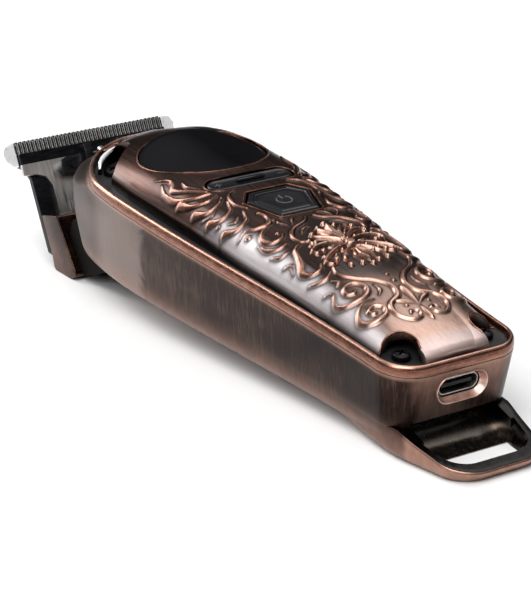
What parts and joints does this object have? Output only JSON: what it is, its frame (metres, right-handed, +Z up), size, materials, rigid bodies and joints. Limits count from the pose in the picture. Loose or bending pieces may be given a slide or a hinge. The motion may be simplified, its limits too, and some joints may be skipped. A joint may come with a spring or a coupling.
{
  "type": "hair clipper",
  "caption": "Cordless hair clipper with a T-shaped blade, a domed cover with a display and two buttons, a charging inlet and a hanging loop.",
  "frame": {"origin": "middle of the footprint of the clipper standing on its loop and chin, on the table", "axes": "+X across, +Y along the table from the hanging loop towards the blade, +Z up"},
  "size_m": [0.0424, 0.1493, 0.0347],
  "materials": {
    "antique_copper": "brushed antique copper",
    "bright_copper": "polished antique copper",
    "black_lens": "gloss",
    "black_plastic": "satin",
    "black_steel": "blackened",
    "steel": "satin",
    "circuit_board": "satin",
    "cell_wrap": "satin",
    "brass": "satin",
    "copper_winding": "satin",
    "carbon": "matt",
    "rubber": "matt"
  },
  "bodies": {
    "body": {"lower_housing": "antique_copper", "rim_frame": "bright_copper", "inner_chassis": "black_plastic", "top_cover": "antique_copper", "cover_screws": "black_steel", "display_lens": "black_lens", "display_module": "black_plastic", "main_pcb": "circuit_board", "tact_switches": "steel", "rocker_pivot": "steel", "usb_shell": "steel", "usb_tongue": "black_plastic", "usb_board": "circuit_board", "battery_cell": "cell_wrap", "battery_cradle": "black_plastic", "battery_tabs": "steel", "motor_can": "steel", "motor_end_cap": "black_plastic", "motor_bushes": "brass", "motor_saddle": "black_plastic", "motor_brushes": "carbon", "shaft_seal": "rubber", "head_neck": "black_plastic", "neck_screws": "steel", "blade_bracket": "bright_copper", "fixed_blade": "black_steel", "blade_screws": "steel", "blade_guide": "black_plastic"},
    "rotor": {"motor_shaft": "steel", "rotor_core": "copper_winding", "commutator": "brass", "eccentric_cam": "steel"},
    "cutter": {"moving_blade": "steel", "drive_block": "black_steel", "drive_rivets": "steel"},
    "power_key": {"power_button": "black_plastic"},
    "rocker_key": {"rocker_button": "black_plastic"}
  },
  "joints": [
    {"name": "motor_spin", "type": "hinge", "parent": "body", "child": "rotor", "pos_m": [0, 0.04225, 0.01847], "axis": [0, 0.9948, 0.1018], "continuous": true},
    {"name": "cutter_slide", "type": "slide", "parent": "body", "child": "cutter", "axis": [1, 0, 0], "range_m": [-0.001, 0.001]},
    {"name": "power_press", "type": "slide", "parent": "body", "child": "power_key", "axis": [0, 0.1018, -0.9948], "range_m": [0, 0.0005], "stiffness_N_per_m": 1500, "springref_m": -0.0003},
    {"name": "rocker_tilt", "type": "hinge", "parent": "body", "child": "rocker_key", "pos_m": [0, 0.00781, 0.02993], "axis": [0, 0.9948, 0.1018], "range_deg": [-2.5, 2.5], "stiffness_Nm_per_rad": 0.02}
  ]
}
